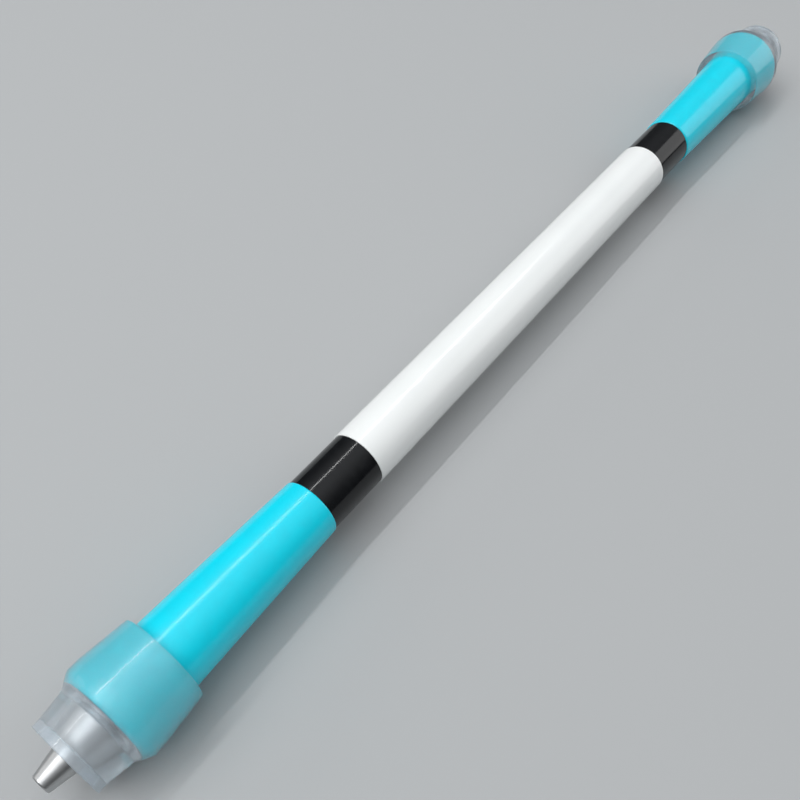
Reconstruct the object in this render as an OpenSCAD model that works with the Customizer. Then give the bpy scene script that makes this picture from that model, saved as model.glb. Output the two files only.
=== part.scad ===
// Balanced ballpoint pen for finger spinning. Both ends carry the same soft cap,
// metal nib cone and weight, so the pen turns evenly about its middle. Only the
// front cone holds a writing point; a steel pin fills the rear one, flush.
// The pen lies along X: writing end at +X, origin on its axis midway between the cones.
// Every turned piece is an outline of [radius, distance from mid-length] points.

/* [Barrel] */
// Length of the white sleeve between the dark collars
barrel_length = 91; // [80:1:100]
// Outer diameter of the white sleeve
barrel_diameter = 10; // [9.8:0.1:10.4]
// Length of each dark collar
collar_length = 10.8; // [8:0.2:14]
// How far a collar lies below the white sleeve
collar_step = 0.17; // [0.05:0.01:0.3]

/* [Grips] */
// Length of a grip sleeve between its collar and its cap
grip_length = 29.4; // [26:0.2:34]
// Outer diameter of a grip at its mouth, next to the collar
grip_mouth_diameter = 10; // [9.8:0.1:10.4]
// Outer diameter of a grip at its end, inside the cap
grip_end_diameter = 12.2; // [11.8:0.1:12.4]

/* [End caps] */
// Length of the wide part of a cap, over the grip
cap_body_length = 9.7; // [9:0.1:12]
// Outer diameter of a cap at its open rim
cap_rim_diameter = 14.3; // [14:0.1:15]
// Diameter of the round land at a cap's shoulder
cap_land_diameter = 15.7; // [15.4:0.1:16.6]
// Length of the nose, from the shoulder to the mouth
nose_length = 6.8; // [6.6:0.1:8]
// Outer diameter of the nose where it meets the shoulder
nose_root_diameter = 12.9; // [12.5:0.1:13.4]
// Outer diameter of the nose at its mouth
nose_mouth_diameter = 11.8; // [11.4:0.1:12.2]

/* [Nib cones] */
// How far a nib cone stands out of the cap's mouth
nib_reach = 3.8; // [3:0.2:4.6]
// Slope of the cone's side against its axis, in degrees
nib_angle = 11.6; // [10:0.2:12.4]
// Length of the cone's threaded shank
shank_length = 6.5; // [5.5:0.5:7]

/* [Refill and weights] */
// Length of the refill's plastic tube
refill_tube_length = 89; // [70:1:95]
// Length of the ink column in the tube
ink_length = 62; // [40:1:65]
// Length of each brass weight
weight_length = 10; // [6:1:16]

/* [Hidden] */
$fn = 96;
glue_gap = 0.02;        // between pieces that are glued or pressed together
turn_gap = 0.05;        // radial running clearance of pieces that turn or slide
loose_gap = 0.12;       // clearance round a piece that only passes through
arc_steps = 8;

// Stations along the pen, measured from mid-length
barrel_end = barrel_length / 2;
collar_end = barrel_end + collar_length;
rim_at = collar_end + grip_length;
shoulder_at = rim_at + cap_body_length;
mouth_at = shoulder_at + nose_length;
tip_at = mouth_at + nib_reach;

// Radii of the tubes
barrel_r = barrel_diameter / 2;
collar_r = barrel_r - collar_step;
core_r = 4.35;
core_bore_r = 3.45;
grip_mouth_r = grip_mouth_diameter / 2;
grip_end_r = grip_end_diameter / 2;

// Threaded bush in the end of each grip
bush_length = 8;
bush_at = shoulder_at - bush_length;
bush_r = 5.2;
shank_r = 3.2;
ring_minor_r = 0.38;
ring_major_r = shank_r + 0.04 + ring_minor_r;
ring_seat_r = ring_major_r + ring_minor_r + turn_gap;
ring_seat_depth = 2 * ring_minor_r + 0.1;

// Nib cone
flange_r = 3.9;
flange_length = 0.7;
flange_at = shoulder_at + 0.03;
cone_at = flange_at + flange_length;
nib_round = 0.3;
nib_flat_r = 1.2;
nib_hole_r = 0.8;
nib_shoulder_r = nib_flat_r + nib_round * cos(nib_angle);
nib_shoulder_at = tip_at - nib_round + nib_round * sin(nib_angle);
function cone_r(x) = nib_shoulder_r + (nib_shoulder_at - x) * tan(nib_angle);

// Refill
tube_r = 1.5;
tube_bore_r = 1.02;
tube_end = mouth_at - 4.2;
tube_start = tube_end - refill_tube_length;
seat_at = tube_end + 1.3;      // inner shoulder of the cone that stops the refill
refill_bore_r = tube_r + 0.15;
point_r = 1.15;
point_bore_r = point_r + 0.1;
ball_at = tip_at + 0.7;
point_taper_at = tip_at - 3.2;
point_rim_r = 0.45;
point_rim_at = ball_at + 0.1;
ball_r = 0.35;
ball_gap = 0.02;
ink_channel_r = 0.15;
ink_well_r = 0.6;
follower_length = 3;
spigot_length = 4;
ink_front = tube_end - spigot_length - 0.1;
ink_back = ink_front - ink_length;
socket_r = ball_r + ball_gap;
socket_open = asin((point_rim_at - ball_at) / socket_r);
socket_back = -acos(ink_channel_r / socket_r);
pin_length = 11.2;
pin_tip_r = nib_hole_r - 0.06;

// End cap
cap_bore_r = grip_end_r + 0.08;
cap_rim_r = cap_rim_diameter / 2;
cap_land_r = cap_land_diameter / 2;
cap_land_length = 1.6;
cap_round = 1.5;
nose_root_r = nose_root_diameter / 2;
nose_fillet = 1.2;
nose_mouth_r = nose_mouth_diameter / 2;
lip_depth = 1.5;
lip_wall = 0.95;
recess_at = mouth_at - lip_depth;
function hole_r(x) = cone_r(x) + loose_gap;

// The shoulder rounds over through this many degrees, then runs straight into the fillet
shoulder_turn = 35;
land_end = shoulder_at - 0.8;
shoulder_arc_end = [cap_land_r - cap_round + cap_round * cos(shoulder_turn),
                    land_end + cap_round * sin(shoulder_turn)];
fillet_start_r = nose_root_r + nose_fillet * (1 - cos(shoulder_turn));
fillet_at = shoulder_arc_end[1] + (shoulder_arc_end[0] - fillet_start_r) / tan(shoulder_turn)
            + nose_fillet * sin(shoulder_turn);

// Turns an outline of [radius, distance] points about the pen's axis
module turned(outline) rotate([0, 90, 0]) rotate_extrude() polygon(outline);

// Puts a copy of a front piece at the rear end
module at_rear() rotate([0, 0, 180]) children();

// Points along an arc, from one angle to another
function arc(centre, radius, from, to) =
    [for (i = [0:arc_steps]) let (a = from + (to - from) * i / arc_steps)
        [centre[0] + radius * cos(a), centre[1] + radius * sin(a)]];

// Outline of a plain tube with a small chamfer on its outer edges
function tube_outline(bore, outer, from, to, chamfer) =
    [[bore, from], [outer - chamfer, from], [outer, from + chamfer],
     [outer, to - chamfer], [outer - chamfer, to], [bore, to]];

module barrel_sleeve() color("white")
    turned(tube_outline(core_r + glue_gap, barrel_r, -barrel_end, barrel_end, 0.08));

module core_tube() color("gainsboro")
    turned(tube_outline(core_bore_r, core_r, -bush_at, bush_at, 0.15));

module collar() color("black")
    turned(tube_outline(core_r + glue_gap, collar_r, barrel_end, collar_end, 0.05));
module front_collar() collar();
module rear_collar() at_rear() collar();

// The grip widens towards the cap. Its end is bored out for the threaded bush.
module grip() color("darkturquoise")
    turned([[core_r + glue_gap, collar_end], [grip_mouth_r - 0.12, collar_end],
            [grip_mouth_r, collar_end + 0.12], [grip_end_r, shoulder_at - 0.3],
            [grip_end_r - 0.3, shoulder_at], [bush_r + glue_gap, shoulder_at],
            [bush_r + glue_gap, bush_at], [core_r + glue_gap, bush_at]]);
module front_grip() grip();
module rear_grip() at_rear() grip();

// Moulded bush that takes the cone's thread, with a seat for the sealing ring
module nib_bush() color("ghostwhite")
    turned([[shank_r + turn_gap, bush_at], [bush_r, bush_at], [bush_r, shoulder_at],
            [ring_seat_r, shoulder_at], [ring_seat_r, shoulder_at - ring_seat_depth],
            [shank_r + turn_gap, shoulder_at - ring_seat_depth]]);
module front_nib_bush() nib_bush();
module rear_nib_bush() at_rear() nib_bush();

module weight() color("darkgoldenrod")
    turned(tube_outline(tube_r + 0.25, core_bore_r - glue_gap,
                        bush_at - weight_length, bush_at, 0.3));
module front_weight() weight();
module rear_weight() at_rear() weight();

// Plug that backs the refill, with a vent hole
module refill_stop() color("dimgray")
    turned(tube_outline(0.6, core_bore_r - glue_gap, tube_start - 8, tube_start - 0.1, 0.3));

module refill_tube() color("whitesmoke")
    turned(tube_outline(tube_bore_r, tube_r, tube_start, tube_end, 0.1));

// The ink stops behind the point's spigot, and clear grease follows it
module refill_ink() color("midnightblue")
    turned([[0, ink_back], [tube_bore_r - glue_gap, ink_back],
            [tube_bore_r - glue_gap, ink_front], [0, ink_front]]);
module ink_follower() color("lightyellow")
    turned([[0, ink_back - follower_length], [tube_bore_r - glue_gap, ink_back - follower_length],
            [tube_bore_r - glue_gap, ink_back - glue_gap], [0, ink_back - glue_gap]]);

// Nickel silver point: spigot in the tube, collar, barrel and taper, with a socket
// that wraps just past the ball's middle
module refill_point() color("silver")
    turned(concat([[ink_well_r, tube_end - spigot_length],
                   [tube_bore_r - glue_gap, tube_end - spigot_length],
                   [tube_bore_r - glue_gap, tube_end], [tube_r, tube_end],
                   [tube_r, seat_at - 0.1], [point_r, seat_at - 0.1], [point_r, point_taper_at],
                   [point_rim_r, point_rim_at]],
                  arc([0, ball_at], socket_r, socket_open, socket_back),
                  [[ink_channel_r, point_taper_at], [ink_well_r, point_taper_at - 0.6]]));

module writing_ball() color("dimgray") translate([ball_at, 0, 0]) sphere(r = ball_r);

// Steel pin that fills the rear cone and its hole, flush, and balances the refill
module rear_balance_pin() color("lightsteelblue") at_rear()
    turned([[0, tube_end - pin_length], [tube_r - 0.2, tube_end - pin_length],
            [tube_r, tube_end - pin_length + 0.2], [tube_r, seat_at - 0.1],
            [point_r, seat_at - 0.1], [point_r, point_taper_at],
            [pin_tip_r, tip_at - 0.65], [pin_tip_r, tip_at - 0.1],
            [pin_tip_r - 0.08, tip_at - 0.03], [0, tip_at - 0.03]]);

module nib_ring() color("black") rotate([0, 90, 0])
    translate([0, 0, shoulder_at - ring_minor_r - 0.02])
        rotate_extrude() translate([ring_major_r, 0]) circle(r = ring_minor_r, $fn = 48);
module front_nib_ring() nib_ring();
module rear_nib_ring() at_rear() nib_ring();

// Bored metal cone with a rounded end, a flange and a plain shank for its thread
module nib_cone() color("silver")
    turned(concat([[refill_bore_r, shoulder_at - shank_length],
                   [shank_r - 0.3, shoulder_at - shank_length],
                   [shank_r, shoulder_at - shank_length + 0.3],
                   [shank_r, flange_at], [flange_r - 0.1, flange_at],
                   [flange_r, flange_at + 0.1], [flange_r, cone_at - 0.2],
                   [flange_r - 0.2, cone_at], [cone_r(cone_at), cone_at]],
                  arc([nib_flat_r, tip_at - nib_round], nib_round, nib_angle, 90),
                  [[nib_hole_r, tip_at], [nib_hole_r, tip_at - 0.6],
                   [point_bore_r, point_taper_at + 0.1], [point_bore_r, seat_at],
                   [refill_bore_r, seat_at]]));
module front_nib_cone() nib_cone();
module rear_nib_cone() at_rear() nib_cone();

// Soft cap: a wide tapered body over the grip, a filleted shoulder, and a thick
// nose whose hole follows the cone and opens into a shallow recess at the mouth
module end_cap() color("powderblue", 0.6)
    turned(concat([[cap_bore_r, rim_at], [cap_rim_r - 0.25, rim_at], [cap_rim_r, rim_at + 0.25],
                   [cap_land_r, land_end - cap_land_length], [cap_land_r, land_end]],
                  arc([cap_land_r - cap_round, land_end], cap_round, 0, shoulder_turn),
                  arc([nose_root_r + nose_fillet, fillet_at], nose_fillet, 180 + shoulder_turn, 180),
                  [[nose_mouth_r, mouth_at - 1.2], [nose_mouth_r, mouth_at - 0.15],
                   [nose_mouth_r - 0.15, mouth_at], [nose_mouth_r - lip_wall, mouth_at],
                   [nose_mouth_r - lip_wall - 0.2, recess_at], [hole_r(recess_at), recess_at],
                   [hole_r(cone_at + 0.3), cone_at + 0.3], [flange_r + loose_gap, cone_at + 0.3],
                   [flange_r + loose_gap, shoulder_at + 0.15], [cap_bore_r, shoulder_at + 0.15]]));
module front_end_cap() end_cap();
module rear_end_cap() at_rear() end_cap();

barrel_sleeve();
core_tube();
front_collar();
rear_collar();
front_grip();
rear_grip();
front_nib_bush();
rear_nib_bush();
front_weight();
rear_weight();
refill_stop();
refill_tube();
refill_ink();
ink_follower();
refill_point();
writing_ball();
rear_balance_pin();
front_nib_ring();
rear_nib_ring();
front_nib_cone();
rear_nib_cone();
front_end_cap();
rear_end_cap();
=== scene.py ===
# %% [markdown]
# # A balanced pen for finger spinning
# The pen is a row of turned pieces on one axis: a white sleeve, two dark collars, two
# flared grips, two metal cones and two soft translucent caps, with a ballpoint refill inside.
# The solids come from the CAD frame. This lesson makes the smooth, finished version of
# each one in the same place, gives it the finish of the real material, and lights it.

# %% Load the frame
import math

import bmesh
import bpy
from mathutils import Matrix, Vector


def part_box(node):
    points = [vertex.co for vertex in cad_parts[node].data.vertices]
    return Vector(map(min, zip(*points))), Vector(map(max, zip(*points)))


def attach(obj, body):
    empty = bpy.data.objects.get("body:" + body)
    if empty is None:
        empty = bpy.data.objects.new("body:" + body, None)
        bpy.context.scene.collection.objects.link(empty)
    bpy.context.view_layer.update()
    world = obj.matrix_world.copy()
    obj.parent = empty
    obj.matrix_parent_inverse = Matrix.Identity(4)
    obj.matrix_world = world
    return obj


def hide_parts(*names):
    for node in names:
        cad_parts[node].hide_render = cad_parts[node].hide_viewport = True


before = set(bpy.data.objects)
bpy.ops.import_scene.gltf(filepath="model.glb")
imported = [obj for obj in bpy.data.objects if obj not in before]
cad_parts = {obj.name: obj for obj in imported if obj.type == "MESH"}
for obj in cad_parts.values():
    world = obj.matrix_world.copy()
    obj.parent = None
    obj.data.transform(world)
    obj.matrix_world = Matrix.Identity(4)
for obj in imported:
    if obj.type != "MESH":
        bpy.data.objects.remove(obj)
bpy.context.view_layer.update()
MM = 0.001

# %% [markdown]
# ## Where everything is
# Every size that the frame can give is read from it: a node's start, its end and its
# largest radius along the pen. They are kept in millimetres, which are easier to read,
# and only the finished meshes are in metres.

# %% Read the stations
def reach(node):
    """Start, end and outer radius of a CAD node along the pen, in millimetres."""
    low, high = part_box(node)
    return low.x / MM, high.x / MM, high.z / MM

_, barrel_end, barrel_r = reach("barrel_sleeve")
_, core_end, core_r = reach("core_tube")
_, collar_end, collar_r = reach("front_collar")
_, shoulder_at, grip_end_r = reach("front_grip")
bush_at, _, bush_r = reach("front_nib_bush")
weight_at, _, weight_r = reach("front_weight")
stop_start, stop_end, stop_r = reach("refill_stop")
tube_start, tube_end, tube_r = reach("refill_tube")
ink_back, ink_front, ink_r = reach("refill_ink")
grease_back, grease_front, _ = reach("ink_follower")
point_start, point_end, _ = reach("refill_point")
ball_start, ball_end, ball_r = reach("writing_ball")
ball_at = (ball_start + ball_end) / 2
ring_start, ring_end, ring_r = reach("front_nib_ring")
shank_at, tip_at, flange_r = reach("front_nib_cone")
rim_at, mouth_at, land_r = reach("front_end_cap")
pin_start = -reach("rear_balance_pin")[1]
pin_end = -reach("rear_balance_pin")[0]
print(f"pen {2 * ball_end:.1f} mm over its points, {2 * land_r:.1f} mm over its caps")

# %% [markdown]
# ## The lathe
# All these pieces are turned shapes, so one Geometry Nodes tree makes them all: it takes an
# outline, rounds its corners by the radius stored on each point, and sweeps it round a circle.
# A Screw modifier or a spin in code would do the same, but here the rounding stays one input.
# The sweep needs a circle of some size to run on, so the outline is given relative to it.

# %% One small function for nodes
def add(tree, kind, inputs=None, **settings):
    """Adds a node with its settings. An input is set to a value or linked to a socket."""
    made = tree.nodes.new(kind)
    for name, value in settings.items():
        setattr(made, name, value)
    for key, value in (inputs or {}).items():
        if isinstance(value, bpy.types.NodeSocket):
            tree.links.new(value, made.inputs[key])
        else:
            made.inputs[key].default_value = value
    return made

def named_input(tree, name, kind, value=None):
    socket = tree.interface.new_socket(name=name, in_out="INPUT", socket_type=kind)
    if value is not None:
        socket.default_value = value

# %% Build the lathe tree
GUIDE = 10 * MM
lathe = bpy.data.node_groups.new("Lathe", "GeometryNodeTree")
named_input(lathe, "Outline", "NodeSocketGeometry")
named_input(lathe, "Sides", "NodeSocketInt", 144)
named_input(lathe, "Corner Steps", "NodeSocketInt", 6)
named_input(lathe, "Material", "NodeSocketMaterial")
lathe.interface.new_socket(name="Piece", in_out="OUTPUT", socket_type="NodeSocketGeometry")
given = add(lathe, "NodeGroupInput")
line = add(lathe, "GeometryNodeMeshToCurve", {"Mesh": given.outputs["Outline"]})
corner = add(lathe, "GeometryNodeInputNamedAttribute", {"Name": "corner"}, data_type="FLOAT")
rounded = add(lathe, "GeometryNodeFilletCurve",
              {"Curve": line.outputs["Curve"], "Count": given.outputs["Corner Steps"],
               "Radius": corner.outputs["Attribute"], "Limit Radius": True}, mode="POLY")
circle = add(lathe, "GeometryNodeCurvePrimitiveCircle",
             {"Resolution": given.outputs["Sides"], "Radius": GUIDE})
swept = add(lathe, "GeometryNodeCurveToMesh",
            {"Curve": circle.outputs["Curve"], "Profile Curve": rounded.outputs["Curve"]})
laid = add(lathe, "GeometryNodeTransform",
           {"Geometry": swept.outputs["Mesh"], "Rotation": (0, math.radians(90), 0)})
merged = add(lathe, "GeometryNodeMergeByDistance",
             {"Geometry": laid.outputs["Geometry"], "Distance": 1e-6})
real = add(lathe, "GeometryNodeRealizeInstances", {"Geometry": merged.outputs["Geometry"]})
coated = add(lathe, "GeometryNodeSetMaterial",
             {"Geometry": real.outputs["Geometry"], "Material": given.outputs["Material"]})
add(lathe, "NodeGroupOutput", {"Piece": coated.outputs["Geometry"]})
print("lathe tree:", len(lathe.nodes), "nodes")

# %% [markdown]
# ## Outlines
# A long straight wall next to a tiny round edge shades badly, because the smooth normals of the
# edge bleed into the wall. Modellers place a holding loop beside each edge, and so does this
# helper: it adds a point just outside every corner of an outline.

# %% Outlines with holding points
HOLD = 0.05

def with_holds(points, closed):
    """Adds a point on each side of every corner, so that straight walls stay straight when shaded."""
    spots = [Vector(p[:2]) for p in points]
    rounds = [p[2] if len(p) > 2 else 0 for p in points]
    if not closed:
        rounds[0] = rounds[-1] = 0
    taken = []
    for i, radius in enumerate(rounds):
        to_last, to_next = spots[i - 1] - spots[i], spots[(i + 1) % len(spots)] - spots[i]
        taken.append(HOLD + (radius / math.tan(to_last.angle(to_next) / 2) if radius else 0))
    made = []
    for i, spot in enumerate(spots):
        made.append((*spot, rounds[i]))
        if not closed and i == len(spots) - 1:
            break
        following = (i + 1) % len(spots)
        side = spots[following] - spot
        if side.length > taken[i] + taken[following] + 0.02:
            made.append((*(spot + side.normalized() * taken[i]), 0))
            made.append((*(spots[following] - side.normalized() * taken[following]), 0))
    return made

print("a square with rounded corners:", len(with_holds([(0, 1, 0.2), (1, 1, 0.2), (1, 2, 0.2), (0, 2, 0.2)], True)),
      "points")

# %% [markdown]
# ## Running a tree
# A tree runs as a modifier on an outline. Its inputs are set first, then the result is kept as
# a plain mesh and the modifier goes away, so the finished piece has nothing left to evaluate.

# %% Run a tree, turn an outline
def run_tree(name, tree, mesh, values):
    """Runs a geometry tree on a mesh and returns the result as a plain mesh."""
    holder = bpy.data.objects.new(name + "_holder", mesh)
    bpy.context.scene.collection.objects.link(holder)
    nodes = holder.modifiers.new("nodes", "NODES")
    nodes.node_group = tree
    for socket in tree.interface.items_tree:
        if socket.in_out == "INPUT" and socket.name in values:
            nodes[socket.identifier] = values[socket.name]
    view = bpy.context.evaluated_depsgraph_get()
    made = bpy.data.meshes.new_from_object(holder.evaluated_get(view), depsgraph=view)
    holder.modifiers.remove(nodes)
    bpy.data.objects.remove(holder)
    return made

def turned(name, outline, material, closed=True, sides=144, steps=6):
    """Lathes an outline of (distance, radius, corner radius) points, in millimetres, about the pen's axis."""
    points = with_holds(outline, closed)
    mesh = bpy.data.meshes.new(name)
    links = [(i, i + 1) for i in range(len(points) - 1)] + ([(len(points) - 1, 0)] if closed else [])
    mesh.from_pydata([(p[1] * MM - GUIDE, -p[0] * MM, 0) for p in points], links, [])
    corner_size = mesh.attributes.new("corner", "FLOAT", "POINT")
    corner_size.data.foreach_set("value", [p[2] * MM for p in points])
    return run_tree(name, lathe, mesh, {"Sides": sides, "Corner Steps": steps, "Material": material})
print("ready to turn outlines")

# %% [markdown]
# ## Threads
# The cone screws into its bush, and a thread is a path with a fixed profile, so a second
# tree sweeps a small triangle along a spiral. The ridge thins out at both ends, as it does
# where a real die runs off. The bush gets the same spiral half a pitch on, pointing inwards.
# A spiral in Blender is right-handed, and a right-hand thread is what this cone has.

# %% Build the thread tree
PITCH, RIDGE = 0.75, 0.34
threader = bpy.data.node_groups.new("Thread", "GeometryNodeTree")
named_input(threader, "Mesh", "NodeSocketGeometry")
named_input(threader, "Turns", "NodeSocketFloat", 6.0)
named_input(threader, "Radius", "NodeSocketFloat", 0.003)
named_input(threader, "Pitch", "NodeSocketFloat", PITCH * MM)
named_input(threader, "Ridge", "NodeSocketFloat", RIDGE * MM)
named_input(threader, "Start", "NodeSocketFloat", 0.0)
named_input(threader, "Inward", "NodeSocketFloat", 0.0)
named_input(threader, "Material", "NodeSocketMaterial")
threader.interface.new_socket(name="Thread", in_out="OUTPUT", socket_type="NodeSocketGeometry")
given = add(threader, "NodeGroupInput")
height = add(threader, "ShaderNodeMath", {0: given.outputs["Turns"], 1: given.outputs["Pitch"]},
             operation="MULTIPLY")
spiral = add(threader, "GeometryNodeCurveSpiral",
             {"Resolution": 48, "Rotations": given.outputs["Turns"],
              "Start Radius": given.outputs["Radius"], "End Radius": given.outputs["Radius"],
              "Height": height.outputs[0], "Reverse": False})
upright = add(threader, "GeometryNodeSetCurveNormal", {"Curve": spiral.outputs["Curve"]}, mode="Z_UP")
along = add(threader, "GeometryNodeSplineParameter")
from_end = add(threader, "ShaderNodeMath", {0: 1.0, 1: along.outputs["Factor"]}, operation="SUBTRACT")
nearest = add(threader, "ShaderNodeMath", {0: along.outputs["Factor"], 1: from_end.outputs[0]},
              operation="MINIMUM")
grown = add(threader, "ShaderNodeMath", {0: nearest.outputs[0], 1: 12.0}, operation="MULTIPLY",
            use_clamp=True)
kept = add(threader, "ShaderNodeMath", {0: grown.outputs[0], 1: 0.05}, operation="MAXIMUM")
tooth = add(threader, "GeometryNodeCurvePrimitiveCircle",
            {"Resolution": 3, "Radius": given.outputs["Ridge"]})
half = add(threader, "ShaderNodeMath", {0: given.outputs["Inward"], 1: math.pi}, operation="MULTIPLY")
spun = add(threader, "ShaderNodeCombineXYZ", {"Z": half.outputs[0]})
facing = add(threader, "GeometryNodeTransform",
             {"Geometry": tooth.outputs["Curve"], "Rotation": spun.outputs[0], "Scale": (0.62, 0.62, 1)})
cut = add(threader, "GeometryNodeCurveToMesh",
          {"Curve": upright.outputs["Curve"], "Profile Curve": facing.outputs["Geometry"],
           "Scale": kept.outputs[0], "Fill Caps": True})
laid = add(threader, "ShaderNodeCombineXYZ", {"X": given.outputs["Start"]})
turn = add(threader, "GeometryNodeTransform",
           {"Geometry": cut.outputs["Mesh"], "Rotation": (0, math.radians(90), 0),
            "Translation": laid.outputs[0]})
real = add(threader, "GeometryNodeRealizeInstances", {"Geometry": turn.outputs["Geometry"]})
coated = add(threader, "GeometryNodeSetMaterial",
             {"Geometry": real.outputs["Geometry"], "Material": given.outputs["Material"]})
add(threader, "NodeGroupOutput", {"Thread": coated.outputs["Geometry"]})
print("thread tree:", len(threader.nodes), "nodes, pitch", PITCH, "mm")

# %% [markdown]
# ## Placing a finished piece
# A piece is one mesh at the origin, with its place in its points. The rear pieces are the
# front ones turned half round about Z, which keeps a right-hand thread right-handed.

# %% Placing pieces
def place(name, meshes, body, slot, replaced, rear=False, crease=32):
    """Joins meshes to one piece, puts it in the scene and lets it ride on its body."""
    work = bmesh.new()
    for mesh in meshes:
        work.from_mesh(mesh)
    bmesh.ops.recalc_face_normals(work, faces=work.faces)
    if rear:
        bmesh.ops.transform(work, matrix=Matrix.Rotation(math.pi, 4, "Z"), verts=work.verts)
    joined = bpy.data.meshes.new(name)
    work.to_mesh(joined)
    work.free()
    for material in meshes[0].materials:
        joined.materials.append(material)
    joined.polygons.foreach_set("use_smooth", [True] * len(joined.polygons))
    joined.set_sharp_from_angle(angle=math.radians(crease))
    piece = bpy.data.objects.new(name, joined)
    bpy.context.scene.collection.objects.link(piece)
    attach(piece, body)
    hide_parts(replaced)
    print(f"{name}: {len(joined.polygons)} faces on {body}")
    return piece

# %% [markdown]
# ## Colours
# Colours are written as sRGB hex codes, as in a paint program, and the shader needs linear
# light, so one function turns them.

# %% Colours and material start
def linear(code):
    """Linear red, green, blue and alpha from an sRGB hex code."""
    parts = [int(code[i:i + 2], 16) / 255 for i in (0, 2, 4)]
    return (*[c / 12.92 if c <= 0.04045 else ((c + 0.055) / 1.055) ** 2.4 for c in parts], 1)

def finish(name, values):
    """A new material whose Principled shader has these plain values. Returns material, tree, shader."""
    material = bpy.data.materials.new(name)
    material.use_nodes = True
    shader = material.node_tree.nodes["Principled BSDF"]
    for key, value in values.items():
        shader.inputs[key].default_value = value
    return material, material.node_tree, shader

# %% [markdown]
# ## White sleeve: gloss ABS
# The sleeve is an extruded tube of opaque white ABS. The eye sees an even white with a clean
# edge to the highlight, which wavers a little because the wall is never quite straight.
# Two noises do that: a slow one over 9 mm, and faint draw lines 0.5 mm apart along it.

# %% White ABS
white_abs, tree, shader = finish("gloss_white_abs", {"IOR": 1.53, "Coat Weight": 0.0})
place_on = add(tree, "ShaderNodeTexCoord").outputs["Object"]
drawn = add(tree, "ShaderNodeMapping", {"Vector": place_on, "Scale": (0.02, 1, 1)})
lines = add(tree, "ShaderNodeTexNoise", {"Vector": drawn.outputs[0], "Scale": 1 / (0.5 * MM), "Detail": 2})
slow = add(tree, "ShaderNodeTexNoise", {"Vector": place_on, "Scale": 1 / (9 * MM), "Detail": 1})
handled = add(tree, "ShaderNodeTexNoise", {"Vector": place_on, "Scale": 1 / (3 * MM), "Detail": 5})
tint = add(tree, "ShaderNodeMix", {0: slow.outputs["Fac"], 6: linear("F4F6F5"), 7: linear("EEF1F0")},
           data_type="RGBA")
gloss = add(tree, "ShaderNodeMapRange", {"Value": handled.outputs["Fac"], "From Min": 0.3, "From Max": 0.75,
                                         "To Min": 0.13, "To Max": 0.24})
wave = add(tree, "ShaderNodeBump", {"Strength": 0.6, "Distance": 0.03 * MM, "Height": slow.outputs["Fac"]})
grain = add(tree, "ShaderNodeBump", {"Strength": 0.35, "Distance": 0.003 * MM, "Height": lines.outputs["Fac"],
                                     "Normal": wave.outputs[0]})
tree.links.new(tint.outputs[2], shader.inputs["Base Color"])
tree.links.new(gloss.outputs[0], shader.inputs["Roughness"])
tree.links.new(grain.outputs[0], shader.inputs["Normal"])
print("made", white_abs.name)

# %% [markdown]
# ## Dark collars: gloss black film
# Each collar is a band of thin black film, shrunk tight on the core tube. Shrunk film keeps
# fine ripples round the pen, so a straight lamp shows in it as a beaded line. The ripples
# are about 0.7 mm apart along the pen and much longer round it.

# %% Black film
black_film, tree, shader = finish("shrunk_black_film", {"IOR": 1.5, "Specular IOR Level": 0.4})
place_on = add(tree, "ShaderNodeTexCoord").outputs["Object"]
stretched = add(tree, "ShaderNodeMapping", {"Vector": place_on, "Scale": (1, 0.22, 0.22)})
ripple = add(tree, "ShaderNodeTexNoise", {"Vector": stretched.outputs[0], "Scale": 1 / (0.7 * MM), "Detail": 2})
dust = add(tree, "ShaderNodeTexNoise", {"Vector": place_on, "Scale": 1 / (1.2 * MM), "Detail": 6})
tint = add(tree, "ShaderNodeMix", {0: dust.outputs["Fac"], 6: linear("07080A"), 7: linear("111316")},
           data_type="RGBA")
gloss = add(tree, "ShaderNodeMapRange", {"Value": dust.outputs["Fac"], "From Min": 0.3, "From Max": 0.8,
                                         "To Min": 0.08, "To Max": 0.22})
bumps = add(tree, "ShaderNodeBump", {"Strength": 0.7, "Distance": 0.012 * MM, "Height": ripple.outputs["Fac"]})
tree.links.new(tint.outputs[2], shader.inputs["Base Color"])
tree.links.new(gloss.outputs[0], shader.inputs["Roughness"])
tree.links.new(bumps.outputs[0], shader.inputs["Normal"])
print("made", black_film.name)

# %% [markdown]
# ## Grips: gloss cyan ABS
# The grips are moulded in cyan ABS. Moulding copies a polished steel tool, so the gloss is
# high, but the pigment flows unevenly and the surface sinks a little, which shows as a faint
# mottle of about 2 mm and a highlight with soft breaks in it. Under the cap much of the light
# that the plastic scatters is reflected back inside the clear wall, so the covered part renders
# too dark. A lighter colour there, set by the distance from the middle, makes up for it. This
# is a correction for looks and no real change of plastic: with a cap off it shows as a band.

# %% Cyan ABS
cyan_abs, tree, shader = finish("moulded_cyan_abs", {"IOR": 1.53})
place_on = add(tree, "ShaderNodeTexCoord").outputs["Object"]
mottle = add(tree, "ShaderNodeTexNoise", {"Vector": place_on, "Scale": 1 / (2 * MM), "Detail": 3})
sink = add(tree, "ShaderNodeTexNoise", {"Vector": place_on, "Scale": 1 / (0.8 * MM), "Detail": 2})
tint = add(tree, "ShaderNodeMix", {0: mottle.outputs["Fac"], 6: linear("05E0F6"), 7: linear("12D3EA")},
           data_type="RGBA")
gloss = add(tree, "ShaderNodeMapRange", {"Value": mottle.outputs["Fac"], "From Min": 0.3, "From Max": 0.75,
                                         "To Min": 0.18, "To Max": 0.265})
bumps = add(tree, "ShaderNodeBump", {"Strength": 0.5, "Distance": 0.006 * MM, "Height": sink.outputs["Fac"]})
way = add(tree, "ShaderNodeSeparateXYZ", {0: place_on})
from_middle = add(tree, "ShaderNodeMath", {0: way.outputs["X"]}, operation="ABSOLUTE")
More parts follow.
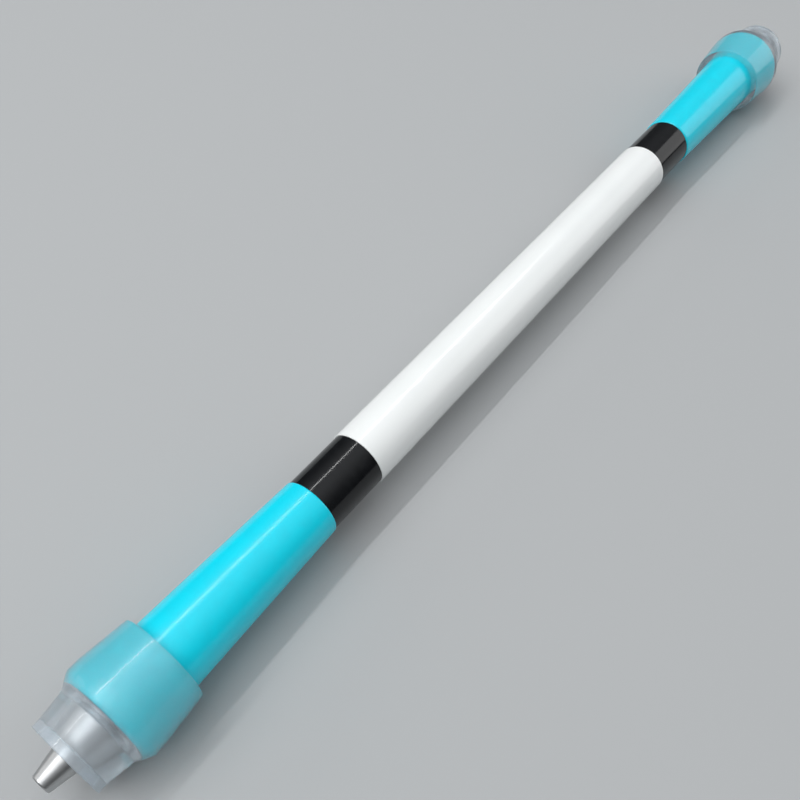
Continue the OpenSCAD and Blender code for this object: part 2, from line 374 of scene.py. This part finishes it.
covered = add(tree, "ShaderNodeMapRange", {"Value": from_middle.outputs[0], "From Min": rim_at * MM,
                                           "From Max": (rim_at + 0.15) * MM})
lightened = add(tree, "ShaderNodeMix", {0: covered.outputs[0], 6: tint.outputs[2], 7: linear("14F0FF")},
             data_type="RGBA")
tree.links.new(lightened.outputs[2], shader.inputs["Base Color"])
tree.links.new(gloss.outputs[0], shader.inputs["Roughness"])
tree.links.new(bumps.outputs[0], shader.inputs["Normal"])
print("made", cyan_abs.name)

# %% [markdown]
# ## Caps: milky silicone
# The soft caps are moulded silicone: it bends light as glass does, but it is milky, and its
# skin is finely matt, so what is behind shows blurred and pale. A Principled shader that is
# mostly transmission at silicone's index of 1.41, with a rough skin and some white diffuse
# left in, gives that. The nose has the thicker wall, so more white is left in there. A volume
# would do it too, but far more slowly. A thin coat adds the faint gloss of the moulded skin.

# %% Milky silicone
silicone, tree, shader = finish("milky_silicone", {"IOR": 1.41, "Coat Weight": 0.3, "Coat Roughness": 0.1})
place_on = add(tree, "ShaderNodeTexCoord").outputs["Object"]
skin = add(tree, "ShaderNodeTexNoise", {"Vector": place_on, "Scale": 1 / (0.6 * MM), "Detail": 2})
cloud = add(tree, "ShaderNodeTexNoise", {"Vector": place_on, "Scale": 1 / (2.5 * MM), "Detail": 3})
tint = add(tree, "ShaderNodeMix", {0: cloud.outputs["Fac"], 6: linear("F4FAFF"), 7: linear("EAF4FC")},
           data_type="RGBA")
way = add(tree, "ShaderNodeSeparateXYZ", {0: place_on})
from_middle = add(tree, "ShaderNodeMath", {0: way.outputs["X"]}, operation="ABSOLUTE")
thick = add(tree, "ShaderNodeMapRange", {"Value": from_middle.outputs[0], "From Min": 95 * MM,
                                         "From Max": 97.5 * MM, "To Min": 0.92, "To Max": 0.79})
clear = add(tree, "ShaderNodeMath", {0: cloud.outputs["Fac"], 1: -0.05, 2: thick.outputs[0]},
            operation="MULTIPLY_ADD")
gloss = add(tree, "ShaderNodeMapRange", {"Value": cloud.outputs["Fac"], "From Min": 0.3, "From Max": 0.7,
                                         "To Min": 0.24, "To Max": 0.268})
bumps = add(tree, "ShaderNodeBump", {"Strength": 0.2, "Distance": 0.001 * MM, "Height": skin.outputs["Fac"]})
tree.links.new(tint.outputs[2], shader.inputs["Base Color"])
tree.links.new(clear.outputs[0], shader.inputs["Transmission Weight"])
tree.links.new(gloss.outputs[0], shader.inputs["Roughness"])
tree.links.new(bumps.outputs[0], shader.inputs["Normal"])
print("made", silicone.name)

# %% [markdown]
# ## Turned metals
# Cones, weights, pin and point are turned on a lathe, which leaves fine rings round the axis.
# The rings depend only on distance along the pen plus radius, so a one-dimensional noise of
# that sum marks tapers and flat faces alike. A real feed of 0.05 mm is too fine to show, so
# the rings are drawn 0.12 mm apart.

# %% Metals
def turned_metal(name, light, dark, low, high, ring_gap=0.12, depth=0.002):
    material, tree, shader = finish(name, {"Metallic": 1.0})
    place_on = add(tree, "ShaderNodeTexCoord").outputs["Object"]
    parts = add(tree, "ShaderNodeSeparateXYZ", {0: place_on})
    flat = add(tree, "ShaderNodeCombineXYZ", {"Y": parts.outputs["Y"], "Z": parts.outputs["Z"]})
    out = add(tree, "ShaderNodeVectorMath", {0: flat.outputs[0]}, operation="LENGTH")
    total = add(tree, "ShaderNodeMath", {0: parts.outputs["X"], 1: out.outputs["Value"]}, operation="ADD")
    rings = add(tree, "ShaderNodeTexNoise", {"W": total.outputs[0], "Scale": 1 / (ring_gap * MM), "Detail": 3},
                noise_dimensions="1D")
    stain = add(tree, "ShaderNodeTexNoise", {"Vector": place_on, "Scale": 1 / (1.5 * MM), "Detail": 5})
    tint = add(tree, "ShaderNodeMix", {0: stain.outputs["Fac"], 6: linear(light), 7: linear(dark)},
               data_type="RGBA")
    gloss = add(tree, "ShaderNodeMapRange", {"Value": rings.outputs["Fac"], "From Min": 0.3, "From Max": 0.7,
                                             "To Min": low, "To Max": high})
    bumps = add(tree, "ShaderNodeBump", {"Strength": 0.5, "Distance": depth * MM, "Height": rings.outputs["Fac"]})
    tree.links.new(tint.outputs[2], shader.inputs["Base Color"])
    tree.links.new(gloss.outputs[0], shader.inputs["Roughness"])
    tree.links.new(bumps.outputs[0], shader.inputs["Normal"])
    print("made", name)
    return material

nib_plate = turned_metal("satin_chrome_plate", "C4C5C5", "AAACAD", 0.28, 0.4)
brass = turned_metal("turned_brass", "E2BE6E", "C79B4A", 0.28, 0.4)
nickel_silver = turned_metal("turned_nickel_silver", "CFC8B8", "B5AD9C", 0.28, 0.38)
stainless = turned_metal("turned_stainless_steel", "C4C6C8", "A9ABAE", 0.28, 0.4)
carbide = turned_metal("ground_tungsten_carbide", "8A8B8F", "6E7074", 0.28, 0.4, ring_gap=0.05, depth=0.0005)

# %% [markdown]
# ## Plain moulded plastics, rubber, ink and grease
# The hidden pieces are everyday materials too: natural ABS for the core tube and bushes, grey
# polypropylene for the plug, cloudy polypropylene for the refill tube, nitrile rubber for the
# seals, and the ink with its grease behind. Each has a tint and a skin of its own.

# %% Hidden materials
def plain(name, light, dark, gap, low, high, values=None, depth=0.004):
    material, tree, shader = finish(name, values or {})
    place_on = add(tree, "ShaderNodeTexCoord").outputs["Object"]
    skin = add(tree, "ShaderNodeTexNoise", {"Vector": place_on, "Scale": 1 / (gap * MM), "Detail": 4})
    tint = add(tree, "ShaderNodeMix", {0: skin.outputs["Fac"], 6: linear(light), 7: linear(dark)},
               data_type="RGBA")
    gloss = add(tree, "ShaderNodeMapRange", {"Value": skin.outputs["Fac"], "From Min": 0.3, "From Max": 0.7,
                                             "To Min": low, "To Max": high})
    bumps = add(tree, "ShaderNodeBump", {"Strength": 0.4, "Distance": depth * MM, "Height": skin.outputs["Fac"]})
    tree.links.new(tint.outputs[2], shader.inputs["Base Color"])
    tree.links.new(gloss.outputs[0], shader.inputs["Roughness"])
    tree.links.new(bumps.outputs[0], shader.inputs["Normal"])
    print("made", name)
    return material

natural_abs = plain("natural_abs", "E9E8E1", "DDDCD4", 1.0, 0.3, 0.42, {"IOR": 1.53})
grey_pp = plain("grey_polypropylene", "57585A", "48494B", 0.6, 0.4, 0.55, {"IOR": 1.49})
cloudy_pp = plain("cloudy_polypropylene", "F2F5F5", "E6EAEA", 1.0, 0.22, 0.32,
                  {"IOR": 1.49, "Transmission Weight": 0.7})
nitrile = plain("moulded_nitrile_rubber", "101011", "1C1C1D", 0.2, 0.45, 0.65, {"IOR": 1.52})
blue_ink = plain("oil_ballpoint_ink", "060C3A", "0A1250", 2.0, 0.08, 0.14, {"IOR": 1.45})
grease = plain("follower_grease", "EFE3AE", "E4D694", 1.0, 0.12, 0.2,
               {"IOR": 1.47, "Transmission Weight": 0.6})

# %% [markdown]
# ## Barrel: core tube, sleeve and collars
# A pen of this kind is built on one tube. The white sleeve covers its middle, and the dark
# collars sit a little lower on each side of it. The sleeve's ends are cut square and only
# lightly broken, so the step to the collar stays crisp.

# %% Barrel pieces
GLUE = 0.02
core_bore_r = weight_r + GLUE
core = turned("core_tube_abs", [(-core_end, core_bore_r, 0.1), (-core_end, core_r, 0.15),
                                (core_end, core_r, 0.15), (core_end, core_bore_r, 0.1)], natural_abs)
place("core_tube_abs", [core], "pen", "core_plastic", "core_tube")
sleeve = turned("white_sleeve", [(-barrel_end, core_r + GLUE), (-barrel_end, barrel_r, 0.09),
                                 (barrel_end, barrel_r, 0.09), (barrel_end, core_r + GLUE)],
                white_abs, sides=192)
place("white_sleeve", [sleeve], "pen", "white_plastic", "barrel_sleeve")
collar = turned("collar_band", [(barrel_end, core_r + GLUE), (barrel_end, collar_r, 0.03),
                                (collar_end, collar_r, 0.06), (collar_end, core_r + GLUE)],
                black_film, sides=192)
place("front_collar_band", [collar], "pen", "black_plastic", "front_collar")
place("rear_collar_band", [collar], "pen", "black_plastic", "rear_collar", rear=True)

# %% [markdown]
# ## Grips
# A grip is a long cone: as thick as the sleeve at its mouth, and 12 mm where the cap holds it.
# The mouth has a small round edge that catches the light. Inside, the wider end is bored out
# for the bush.

# %% Grip pieces
grip_mouth_r = barrel_r
GRIP_EDGE = 0.28
def grip_r(x):
    """Outer radius of the grip at a distance along the pen."""
    return grip_mouth_r + (grip_end_r - grip_mouth_r) * (x - collar_end) / (shoulder_at - collar_end)

grip = turned("grip", [(collar_end, core_r + GLUE), (collar_end, grip_mouth_r, GRIP_EDGE),
                       (shoulder_at, grip_end_r, 0.35), (shoulder_at, bush_r + GLUE, 0.08),
                       (bush_at, bush_r + GLUE), (bush_at, core_r + GLUE)], cyan_abs, sides=192)
place("front_grip_sleeve", [grip], "pen", "cyan_plastic", "front_grip")
place("rear_grip_sleeve", [grip], "pen", "cyan_plastic", "rear_grip", rear=True)

# %% [markdown]
# ## Cones and their bushes
# The nib cone is a bored metal cone with a rounded end, a thin flange and a threaded shank.
# The shank runs in a moulded bush inside the grip, and a rubber ring seals the joint.
# The core of the shank is turned below the thread, and the ridge is added on top.

# %% Cone outline
SLOPE = math.tan(math.radians(11.6))
CONE_END_R = 1.44
NIB_ROUND = 0.3
NIB_HOLE_R = 0.8
FLANGE_AT = shoulder_at + 0.03
CONE_AT = FLANGE_AT + 0.7
SHANK_R = 3.2
ROOT_R = 2.9
REFILL_BORE_R = tube_r + 0.15
POINT_BORE_R = 1.25
SEAT_AT = tube_end + 1.3
POINT_TAPER_AT = tip_at - 3.2
def cone_r(x):
    """Radius of the bare cone at a distance along the pen."""
    return CONE_END_R + (tip_at - x) * SLOPE

cone = turned("nib_cone", [(shank_at, REFILL_BORE_R, 0.1), (shank_at, ROOT_R, 0.25),
                           (FLANGE_AT - 1.3, ROOT_R, 0.1), (FLANGE_AT - 1.1, SHANK_R - 0.04, 0.1),
                           (FLANGE_AT, SHANK_R - 0.04, 0.08),
                           (FLANGE_AT, flange_r, 0.12), (CONE_AT, flange_r, 0.18),
                           (CONE_AT, cone_r(CONE_AT), 0.12), (tip_at, CONE_END_R, NIB_ROUND),
                           (tip_at, NIB_HOLE_R, 0.06), (tip_at - 0.6, NIB_HOLE_R),
                           (POINT_TAPER_AT + 0.1, POINT_BORE_R), (SEAT_AT, POINT_BORE_R),
                           (SEAT_AT, REFILL_BORE_R)], nib_plate, sides=144, steps=10)

# %% Thread and cone pieces
def thread(radius, turns, start, inward):
    """A thread ridge about the pen's axis. It points out from the shank, or in from the bush."""
    return run_tree("thread", threader, bpy.data.meshes.new("empty"),
                    {"Turns": turns, "Radius": radius * MM, "Start": start * MM,
                     "Inward": float(inward), "Material": natural_abs if inward else nib_plate})

male = thread(ROOT_R + 0.09, 6.4, shank_at + 0.35, False)
place("front_cone", [cone, male], "front_nib", "nib_metal", "front_nib_cone")
place("rear_cone", [cone, male], "rear_nib", "nib_metal", "rear_nib_cone", rear=True)

# %% [markdown]
# ## Bushes and seals
# The bush is moulded with its thread, so its ridge is the same spiral turned inwards. The seal
# is an O-ring, and its outline is simply a small circle of points.

# %% Bushes and seals
RING_SEAT_R = ring_r + 0.05
RING_SEAT_AT = ring_start - 0.06
BUSH_BORE_R = SHANK_R + 0.05
bush = turned("nib_bush", [(bush_at, BUSH_BORE_R, 0.2), (bush_at, bush_r, 0.12), (shoulder_at, bush_r, 0.12),
                           (shoulder_at, RING_SEAT_R, 0.05), (RING_SEAT_AT, RING_SEAT_R, 0.05),
                           (RING_SEAT_AT, BUSH_BORE_R, 0.08)], natural_abs)
female = thread(BUSH_BORE_R - 0.04, 7.4, bush_at + 0.725, True)
place("front_threaded_bush", [bush, female], "pen", "core_plastic", "front_nib_bush")
place("rear_threaded_bush", [bush, female], "pen", "core_plastic", "rear_nib_bush", rear=True)
ring_middle, ring_small = (ring_start + ring_end) / 2, (ring_end - ring_start) / 2
ring_outline = [(ring_middle + ring_small * math.cos(math.radians(a)),
                 ring_r - ring_small + ring_small * math.sin(math.radians(a))) for a in range(0, 360, 15)]
seal = turned("seal_ring", ring_outline, nitrile, sides=96)
place("front_seal_ring", [seal], "front_nib", "ring_rubber", "front_nib_ring")
place("rear_seal_ring", [seal], "rear_nib", "ring_rubber", "rear_nib_ring", rear=True)

# %% [markdown]
# ## Refill, weights and balance pin
# Inside runs a standard thin refill: a cloudy tube with an ink column, clear grease behind it
# and a nickel silver point that holds a carbide ball. Brass rings weight both ends, a plug
# backs the refill, and a steel pin fills the rear cone so that both ends weigh the same.

# %% Refill pieces
TUBE_BORE_R = ink_r + GLUE
INK_WELL_R, POINT_R, INK_CHANNEL_R, RIM_R = 0.6, 1.15, 0.15, 0.45
tube = turned("refill_tube", [(tube_start, TUBE_BORE_R, 0.05), (tube_start, tube_r, 0.1),
                              (tube_end, tube_r, 0.1), (tube_end, TUBE_BORE_R, 0.05)], cloudy_pp, sides=64)
place("cloudy_refill_tube", [tube], "refill", "refill_plastic", "refill_tube")
ink = turned("ink", [(ink_back, 0), (ink_back, ink_r, 0.3), (ink_front, ink_r, 0.3), (ink_front, 0)],
             blue_ink, closed=False, sides=48)
place("ink_column", [ink], "refill", "ink", "refill_ink")
follower = turned("grease", [(grease_back, 0), (grease_back, ink_r, 0.3), (grease_front, ink_r, 0.1),
                             (grease_front, 0)], grease, closed=False, sides=48)
place("grease_plug", [follower], "refill", "grease", "ink_follower")
socket_r = ball_r + GLUE
wrap = math.degrees(math.asin((point_end - ball_at) / socket_r))
back = math.degrees(math.acos(INK_CHANNEL_R / socket_r))
cup = [(ball_at + socket_r * math.sin(math.radians(a)), socket_r * math.cos(math.radians(a)))
       for a in [wrap - i * (wrap + back) / 10 for i in range(11)]]
point = turned("writing_point", [(point_start, INK_WELL_R), (point_start, ink_r, 0.1), (tube_end, ink_r),
                                 (tube_end, tube_r, 0.06), (SEAT_AT - 0.1, tube_r, 0.08),
                                 (SEAT_AT - 0.1, POINT_R, 0.05), (POINT_TAPER_AT, POINT_R, 0.1),
                                 (point_end, RIM_R), *cup,
                                 (POINT_TAPER_AT, INK_CHANNEL_R), (POINT_TAPER_AT - 0.6, INK_WELL_R)],
               nickel_silver, sides=96)
place("writing_point", [point], "refill", "nickel_silver", "refill_point")
half_circle = [(ball_at + ball_r * math.cos(math.radians(a)), ball_r * math.sin(math.radians(a)))
               for a in range(180, -1, -10)]
half_circle[0], half_circle[-1] = (ball_start, 0), (ball_end, 0)
ball = turned("carbide_ball", half_circle, carbide, closed=False, sides=36)
place("carbide_ball", [ball], "ball", "carbide", "writing_ball")

# %% [markdown]
# ## Weights, plug and pin
# The weights are plain brass rings with broken edges. The pin copies the outside of the refill's
# end, so that it seats in the rear cone in the same way, and ends flush with the cone's hole.

# %% Weights, plug and pin
weight = turned("brass_weight", [(weight_at, tube_r + 0.25, 0.2), (weight_at, weight_r, 0.3),
                                 (bush_at, weight_r, 0.3), (bush_at, tube_r + 0.25, 0.2)], brass, sides=96)
place("front_brass_weight", [weight], "pen", "brass", "front_weight")
place("rear_brass_weight", [weight], "pen", "brass", "rear_weight", rear=True)
plug = turned("refill_plug", [(stop_start, 0.6, 0.1), (stop_start, stop_r, 0.3), (stop_end, stop_r, 0.3),
                              (stop_end, 0.6, 0.15)], grey_pp, sides=96)
place("refill_plug", [plug], "pen", "stop_plastic", "refill_stop")
pin = turned("balance_pin", [(pin_start, 0), (pin_start, tube_r, 0.25), (SEAT_AT - 0.1, tube_r, 0.08),
                             (SEAT_AT - 0.1, POINT_R, 0.05), (POINT_TAPER_AT, POINT_R, 0.1),
                             (tip_at - 0.65, NIB_HOLE_R - 0.06, 0.05), (pin_end, NIB_HOLE_R - 0.06, 0.1),
                             (pin_end, 0)], stainless, closed=False, sides=96)
place("steel_balance_pin", [pin], "rear_pin", "steel", "rear_balance_pin", rear=True)

# %% [markdown]
# ## Soft caps
# The caps are stretched over the grips, so silicone and plastic touch with no air between,
# and the light passes from one to the other without a second bend. That is what makes the
# grip look as wide as the cap. So the bore is made to meet the grip, and the nose to meet
# the cone, 0.02 mm deep.

# %% Cap pieces
TOUCH = 0.02
CAP_RIM_R, LAND_AT, LAND_END = 7.15, 93.0, 95.073
NOSE_ROOT_AT, NOSE_ROOT_R, NOSE_MOUTH_R = 97.073, 6.45, 5.9
LIP_WALL, RECESS_AT = 0.95, mouth_at - 1.5
cap = turned("soft_cap", [(rim_at, grip_r(rim_at) - TOUCH, 0.05), (rim_at, CAP_RIM_R, 0.2),
                          (LAND_AT, land_r, 5.0), (LAND_END, land_r, 1.5),
                          (NOSE_ROOT_AT, NOSE_ROOT_R, 1.2), (mouth_at - 1.2, NOSE_MOUTH_R, 4.0),
                          (mouth_at, NOSE_MOUTH_R, 0.12), (mouth_at, NOSE_MOUTH_R - LIP_WALL, 0.12),
                          (RECESS_AT, NOSE_MOUTH_R - LIP_WALL - 0.2, 0.25),
                          (RECESS_AT, cone_r(RECESS_AT) - TOUCH, 0.03),
                          (CONE_AT + 0.1, cone_r(CONE_AT) - TOUCH), (CONE_AT + 0.1, flange_r + 0.1),
                          (shoulder_at + 0.1, flange_r + 0.1),
                          (shoulder_at + 0.1, grip_end_r - 0.3), (shoulder_at - 0.25, grip_end_r - TOUCH)],
             silicone, sides=192, steps=8)
place("front_soft_cap", [cap], "front_cap", "cap_silicone", "front_end_cap")
place("rear_soft_cap", [cap], "rear_cap", "cap_silicone", "rear_end_cap", rear=True)

# %% [markdown]
# ## Floor, light and camera
# The pen lies on a plain pale floor, on the lands of its two caps. A large soft box gives the
# even light, and a long narrow lamp beside it draws the thin bright line along the pen.

# %% Pale floor
floor_mesh = bpy.data.meshes.new("floor")
floor_mesh.from_pydata([(x * 6, y * 6, -land_r * MM) for x, y in ((-1, -1), (1, -1), (1, 1), (-1, 1))],
                       [], [(0, 1, 2, 3)])
floor = bpy.data.objects.new("floor", floor_mesh)
bpy.context.scene.collection.objects.link(floor)
pale, tree, shader = finish("pale_floor", {"Base Color": linear("AFB1B2"), "Roughness": 0.85})
floor_mesh.materials.append(pale)
print("floor at", round(-land_r, 3), "mm, under the lands of the caps")

# %% [markdown]
# ## Lights
# A lamp shows in a straight glossy rod as a line, at the place round the rod where it mirrors
# the lamp. So the tube lamp is long and thin and stands above the pen, the soft box gives the
# main light from beyond one end, where the rod doesn't mirror it, and two weaker panels fill
# the sides. The sky is brighter overhead than at the horizon, which keeps the black collars
# black. Seen directly, it is raised to a pale backdrop.

# %% Lamps
def lamp(name, place, target, width, length, power, colour="FFFFFF"):
    """A rectangular lamp at a place, facing a target. Its length runs along the pen as far as it can."""
    light = bpy.data.lights.new(name, "AREA")
    light.shape, light.size, light.size_y, light.energy = "RECTANGLE", length, width, power
    light.color = linear(colour)[:3]
    shone = bpy.data.objects.new(name, light)
    bpy.context.scene.collection.objects.link(shone)
    back = (Vector(place) - Vector(target)).normalized()
    side = (Vector((1, 0, 0)) - back * back.x).normalized()
    up = back.cross(side)
    shone.matrix_world = Matrix((side, up, back)).transposed().to_4x4()
    shone.location = place
    return shone

lamp("soft_box", (-0.5, 0.22, 1.0), (0, 0, 0), 1.1, 1.1, 5.4)
lamp("side_box", (-0.5, 1.0, 0.4), (0, 0, 0), 0.6, 0.9, 2.0)
lamp("tube_lamp", (-0.15, 0.2, 0.56), (-0.15, 0, 0), 0.014, 1.35, 1.5)
lamp("window_panel", (0.93, -0.65, 0.5), (0.1, 0, 0), 0.8, 0.9, 3.0)

# %% Sky
world = bpy.data.worlds.new("studio")
world.use_nodes = True
sky = world.node_tree
up = add(sky, "ShaderNodeSeparateXYZ", {0: add(sky, "ShaderNodeTexCoord").outputs["Generated"]})
overhead = add(sky, "ShaderNodeMath", {0: up.outputs["Z"], 1: 3.0}, operation="POWER")
ceiling = add(sky, "ShaderNodeMapRange", {"Value": overhead.outputs[0], "To Min": 0.08, "To Max": 1.15})
sky.nodes["Background"].inputs["Color"].default_value = linear("F2F5F8")
backdrop = add(sky, "ShaderNodeMath", {0: add(sky, "ShaderNodeLightPath").outputs["Is Camera Ray"], 1: 0.4,
                                       2: ceiling.outputs[0]}, operation="MULTIPLY_ADD")
sky.links.new(backdrop.outputs[0], sky.nodes["Background"].inputs["Strength"])
bpy.context.scene.world = world

# %% [markdown]
# ## Camera
# The camera stands close to one end of the pen and high above it, so the pen runs away from it
# and gets thinner. It is aimed at a point on the pen and stays upright.

# %% Camera
camera = bpy.data.objects.new("camera", bpy.data.cameras.new("camera"))
bpy.context.scene.collection.objects.link(camera)
camera.data.lens, camera.data.sensor_width, camera.data.clip_start = 38.85, 36, 0.01
camera.location = Vector((-100.0, -51.05, 112.11)) * MM
aim = Vector((-32.3, 2.0, 0)) * MM
camera.rotation_euler = (aim - camera.location).to_track_quat("-Z", "Y").to_euler()
bpy.context.scene.camera = camera
bpy.context.scene.view_settings.view_transform = "Standard"
print("camera", round((camera.location - aim).length / MM), "mm from its aim, lens", camera.data.lens, "mm")

# %% [markdown]
# ## Finished pieces
# The number of materials and meshes that were made is printed.

print("finished pieces:", len(bpy.data.materials), "materials on", len(bpy.data.meshes), "meshes")
